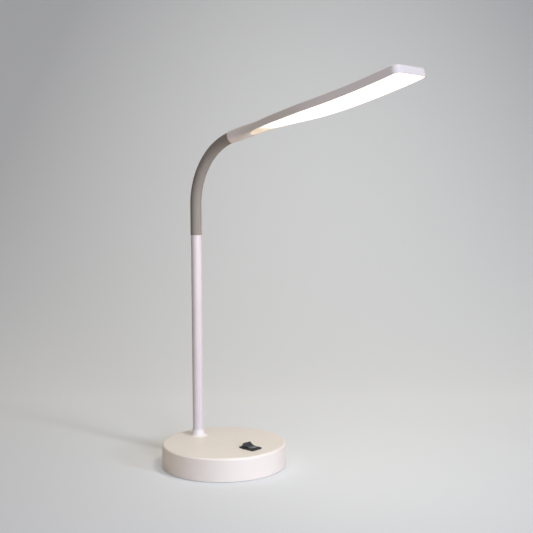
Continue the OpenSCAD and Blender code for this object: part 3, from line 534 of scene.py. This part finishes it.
def make_panel():
    rings = []
    for s in along_panel(PANEL_FROM + PANEL_GAP, PANEL_END - PANEL_GAP,
                         TIP_CORNER_R - RIM_W - PANEL_GAP, range(4, 90, 4)):
        u = max(panel_w(s, PANEL_GAP), PANEL_LEAST_HALF_W)
        low = -half_t(s) + PANEL_INSET
        high = low + PANEL_T - PANEL_PLAY
        half = [(u - PANEL_BEVEL, high), (u, high - PANEL_BEVEL),
                (u, low + PANEL_BEVEL), (u - PANEL_BEVEL, low)]
        ring = half + [(u * k, low) for k in (0.5, 0.0, -0.5)] + [(-y, n) for y, n in half[::-1]]
        ring += [(u * k, high) for k in (-0.5, 0.0, 0.5)]
        rings.append([head_point(s, y, n) for y, n in ring])
    points, faces = skin(rings)
    return add_piece("opal_panel", points, faces, "opal", "head", ["light_panel"])


head = make_head()
make_panel()

# ---------------------------------------------------------------- gooseneck sleeve

AROUND = 48
RING_STEP = 0.8 * MM
FROM_ABOVE = ("bend_3",)    # listed apart, yet the loop below bakes its piece like the others


def neck_ring(s, r):
    a = neck_lean(s)
    normal = Vector((math.cos(a), 0.0, -math.sin(a)))
    side = Vector((0.0, 1.0, 0.0))
    return [neck_point(s) + r * (math.cos(t) * normal + math.sin(t) * side)
            for t in (2.0 * math.pi * k / AROUND for k in range(AROUND))]


def sleeve(name, s0, s1, body=None, nodes=()):
    """A thick tube of the gooseneck's sleeve from s0 to s1."""
    at = spread(s0, s1, RING_STEP) + [s1]
    points, faces = ring_tube([neck_ring(s, NECK_R) for s in at]
                              + [neck_ring(s, SLEEVE_BORE_R) for s in reversed(at)])
    return add_piece(name, points, faces, "sleeve", body, nodes)


bend_link = (BEND_LEN - HEAD_GRIP) / BEND_LINKS
hinge_at = [BASE_GRIP] + [NECK_STRAIGHT + k * bend_link for k in range(BEND_LINKS + 1)]
neck_joints = [joint for joint in frame["joints"] if joint["name"] != "rocker_tilt"]
ends = [0.0] + hinge_at + [NECK_LEN]
middles = [0.5 * (a + b) for a, b in zip(ends, ends[1:])]
sleeve("sleeve_foot", 0.0, middles[0], "base", ["neck_sleeve_0"])
for k, joint in enumerate(neck_joints):
    s0, s1 = middles[k], middles[k + 1]
    piece = sleeve(f"sleeve_bend_{k + 1}", s0, s1)
    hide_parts(f"neck_sleeve_{k + 1}")
    if joint["name"] in FROM_ABOVE:
        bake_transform(piece)
    else:
        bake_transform(piece)
sleeve("sleeve_end", middles[-1], NECK_LEN, "head")

# ---------------------------------------------------------------- stage

# The floor and the wall it curves up into, in the studio's axes.
STAGE_NEAR = -1.0           # the floor's front edge
WALL_AWAY = 2.55            # where the floor has curved up into the wall
SWEEP_R = 2.2
SWEEP_ANGLES = range(3, 91, 3)      # degrees
STAGE_HALF_W = 4.0
WALL_TOP = 3.5

PAPER = (0.74, 0.66, 0.56)  # what the rest of the scene is lit by
PAPER_GLOW = 0.15           # what the camera sees of it without any light
PAPER_ROUGHNESS, PAPER_SPECULAR = 0.9, 0.1
PAPER_EDGE = (0.404, 0.437, 0.496)  # as the camera sees it, away from the three pools of painted light and shade below
PAPER_LIGHT_POOL = (1.075, 1.158, 1.250)  # painted pool of light on the paper behind the lamp, brighter than its edges
LIGHT_POOL_PLACE = (0.227, -1.032, 0.504)
LIGHT_POOL_REACH = (1.015, 6.278, 1.290)
PAPER_FRONT_SHADE = (0.276, 0.297, 0.372)  # painted shade: the floor darker in front
FRONT_SHADE_PLACE = (-0.103, -0.310, -0.404)
FRONT_SHADE_REACH = (7.389, 0.718, 0.957)
PAPER_LAMPS_SHADE = (0.05, 0.045, 0.045)  # painted shade on the floor towards the two front lights, out of view, darkening it against their glare
LAMPS_SHADE_PLACE = (1.3, -1.9, 0.0)
LAMPS_SHADE_REACH = (1.9, 1.6, 1.0)


def painted_pool_mask(tree, place, reach):
    """Mask for one painted pool of light or of shade: one in its middle and nothing at its reach, in the studio's
    axes.
    """
    where = tree.nodes.new("ShaderNodeTexCoord")
    mapping = tree.nodes.new("ShaderNodeMapping")
    mapping.vector_type = "TEXTURE"
    mapping.inputs["Location"].default_value = place
    mapping.inputs["Scale"].default_value = reach
    pool = tree.nodes.new("ShaderNodeTexGradient")
    pool.gradient_type = "SPHERICAL"
    tree.links.new(where.outputs["Object"], mapping.inputs["Vector"])
    tree.links.new(mapping.outputs["Vector"], pool.inputs["Vector"])
    return pool.outputs["Fac"]


def mix_colors(tree, factor, first, second):
    """Blend of two colours, each a plain colour or another node's output."""
    node = tree.nodes.new("ShaderNodeMix")
    node.data_type = "RGBA"
    tree.links.new(factor, node.inputs["Factor"])
    # The node has an A, a B and a Result for every kind of data; these are the colours'.
    for socket, color in ((node.inputs[6], first), (node.inputs[7], second)):
        if isinstance(color, tuple):
            socket.default_value = color + (1.0,)
        else:
            tree.links.new(color, socket)
    return node.outputs[2]


def seen_rays(tree):
    """One for the rays that show the background: the camera's, mirrored ones and through glass."""
    paths = tree.nodes.new("ShaderNodeLightPath")
    seen = paths.outputs["Is Camera Ray"]
    for kind in ("Is Glossy Ray", "Is Transmission Ray"):
        either = tree.nodes.new("ShaderNodeMath")
        either.operation = "MAXIMUM"
        tree.links.new(seen, either.inputs[0])
        tree.links.new(paths.outputs[kind], either.inputs[1])
        seen = either.outputs["Value"]
    return seen


def backdrop_painted_light():
    material, tree, shader = new_material("backdrop_painted_light")
    shader.inputs["Roughness"].default_value = PAPER_ROUGHNESS
    shader.inputs["Specular IOR Level"].default_value = PAPER_SPECULAR
    color = PAPER_EDGE
    # Mix in the pools of painted light and shade: a bright one behind the lamp, a darker floor in front and
    # towards the front lights.
    for place, reach, inside in ((LIGHT_POOL_PLACE, LIGHT_POOL_REACH, PAPER_LIGHT_POOL),
                                 (FRONT_SHADE_PLACE, FRONT_SHADE_REACH, PAPER_FRONT_SHADE),
                                 (LAMPS_SHADE_PLACE, LAMPS_SHADE_REACH, PAPER_LAMPS_SHADE)):
        color = mix_colors(tree, painted_pool_mask(tree, place, reach), color, inside)
    rays = seen_rays(tree)
    tree.links.new(mix_colors(tree, rays, PAPER, color), shader.inputs["Base Color"])
    glow = tree.nodes.new("ShaderNodeMath")
    glow.operation = "MULTIPLY"
    glow.inputs[1].default_value = PAPER_GLOW
    tree.links.new(rays, glow.inputs[0])
    shader.inputs["Emission Color"].default_value = (1.0, 1.0, 1.0, 1.0)
    tree.links.new(glow.outputs["Value"], shader.inputs["Emission Strength"])
    return material


def make_stage():
    sweep_from = WALL_AWAY - SWEEP_R
    profile = [(STAGE_NEAR, 0.0), (sweep_from, 0.0)]
    profile += [(sweep_from + SWEEP_R * math.sin(math.radians(a)),
                 SWEEP_R * (1.0 - math.cos(math.radians(a)))) for a in SWEEP_ANGLES]
    profile.append((WALL_AWAY, WALL_TOP))
    points = [(x, away, up) for away, up in profile for x in (-STAGE_HALF_W, STAGE_HALF_W)]
    faces = [(2 * i, 2 * i + 1, 2 * i + 3, 2 * i + 2) for i in range(len(profile) - 1)]
    mesh = bpy.data.meshes.new("stage")
    mesh.from_pydata(points, [], faces)
    mesh.update()
    mesh.polygons.foreach_set("use_smooth", [True] * len(mesh.polygons))
    mesh.materials.append(backdrop_painted_light())
    obj = bpy.data.objects.new("stage", mesh)
    obj.matrix_world = studio
    bpy.context.scene.collection.objects.link(obj)
    return obj


stage = make_stage()

# ---------------------------------------------------------------- lights

LAMP_MIDDLE = Vector((0.05, 0.0, 0.2))  # what the lights are aimed at
LIGHT_FAR = 2.4             # of the lights from a point above the base's middle
FILL_FAR = 1.0
LIGHT_CENTRE_H = 0.15       # that point's height
COOL = (0.789, 0.846, 1.0)
WARM = (1.0, 0.85, 0.62)


def soft_light(name, turn, rise, size, power, color, far=LIGHT_FAR):
    """A round soft light; turn is its angle in degrees from the camera's side to the right."""
    turn, rise = math.radians(turn), math.radians(rise)
    level = far * math.cos(rise)
    data = bpy.data.lights.new(name, "AREA")
    data.shape = "DISK"
    data.size = size
    data.energy = power
    data.color = color
    light = bpy.data.objects.new(name, data)
    light.location = in_studio(level * math.sin(turn), -level * math.cos(turn),
                               far * math.sin(rise) + LIGHT_CENTRE_H)
    light.rotation_euler = (LAMP_MIDDLE - light.location).to_track_quat("-Z", "Y").to_euler()
    bpy.context.scene.collection.objects.link(light)
    return light


def hide_light(light):
    """Leave a light's own disc or box out of what the camera and the reflections show."""
    light.visible_camera = False
    light.visible_glossy = False


def fill(name, turn, rise, size, power, obj, state):
    """A weak light on the lamp's back that shines on obj alone or on all but obj."""
    light = soft_light(name, turn, rise, size, power, COOL, far=FILL_FAR)
    hide_light(light)
    linked = bpy.data.collections.new(name)
    linked.objects.link(obj)
    linked.collection_objects[0].light_linking.link_state = state
    light.light_linking.receiver_collection = linked


soft_light("key", turn=50.0, rise=14.0, size=0.35, power=20.4, color=COOL)
soft_light("front", turn=20.0, rise=12.0, size=0.7, power=26.3, color=COOL)
soft_light("overhead", turn=0.0, rise=90.0, size=2.6, power=28.4, color=WARM)
fill("fill_behind", turn=205.0, rise=-4.6, size=0.14, power=4.0, obj=stage, state="EXCLUDE")
fill("fill_head", turn=180.0, rise=30.0, size=0.6, power=7.0, obj=head, state="INCLUDE")

GLOW_POWER = 0.605
GLOW_COLOR = (1.0, 0.911, 0.712)
GLOW_LEN, GLOW_W = 0.17, 0.04
GLOW_AHEAD = 0.012          # of the panel's middle, towards the tip
GLOW_BELOW = 0.003          # the head's underside


def lamp_light():
    """The light that the panel itself throws on the table, from a soft box just below it."""
    data = bpy.data.lights.new("lamp_glow", "AREA")
    data.shape = "RECTANGLE"
    data.size = GLOW_LEN
    data.size_y = GLOW_W
    data.energy = GLOW_POWER
    data.color = GLOW_COLOR
    light = bpy.data.objects.new("lamp_glow", data)
    middle = 0.5 * (PANEL_FROM + PANEL_END) + GLOW_AHEAD
    light.location = head_point(middle, 0.0, -HEAD_HALF_T - GLOW_BELOW)
    light.rotation_euler = (0.0, -head_slope(middle), 0.0)
    hide_light(light)
    bpy.context.scene.collection.objects.link(light)


lamp_light()

WORLD_LIGHT = 0.1           # what the world lights the lamp with
WORLD_SEEN = 0.5            # how bright it looks past the paper's edges and in reflections


def make_world():
    world = bpy.data.worlds.new("studio")
    bpy.context.scene.world = world
    world.use_nodes = True
    tree = world.node_tree
    background = tree.nodes["Background"]
    background.inputs["Color"].default_value = (1.0, 1.0, 1.0, 1.0)
    strength = tree.nodes.new("ShaderNodeMapRange")
    strength.inputs["To Min"].default_value = WORLD_LIGHT
    strength.inputs["To Max"].default_value = WORLD_SEEN
    tree.links.new(seen_rays(tree), strength.inputs["Value"])
    tree.links.new(strength.outputs["Result"], background.inputs["Strength"])


make_world()

bpy.context.scene.view_settings.view_transform = "Standard"
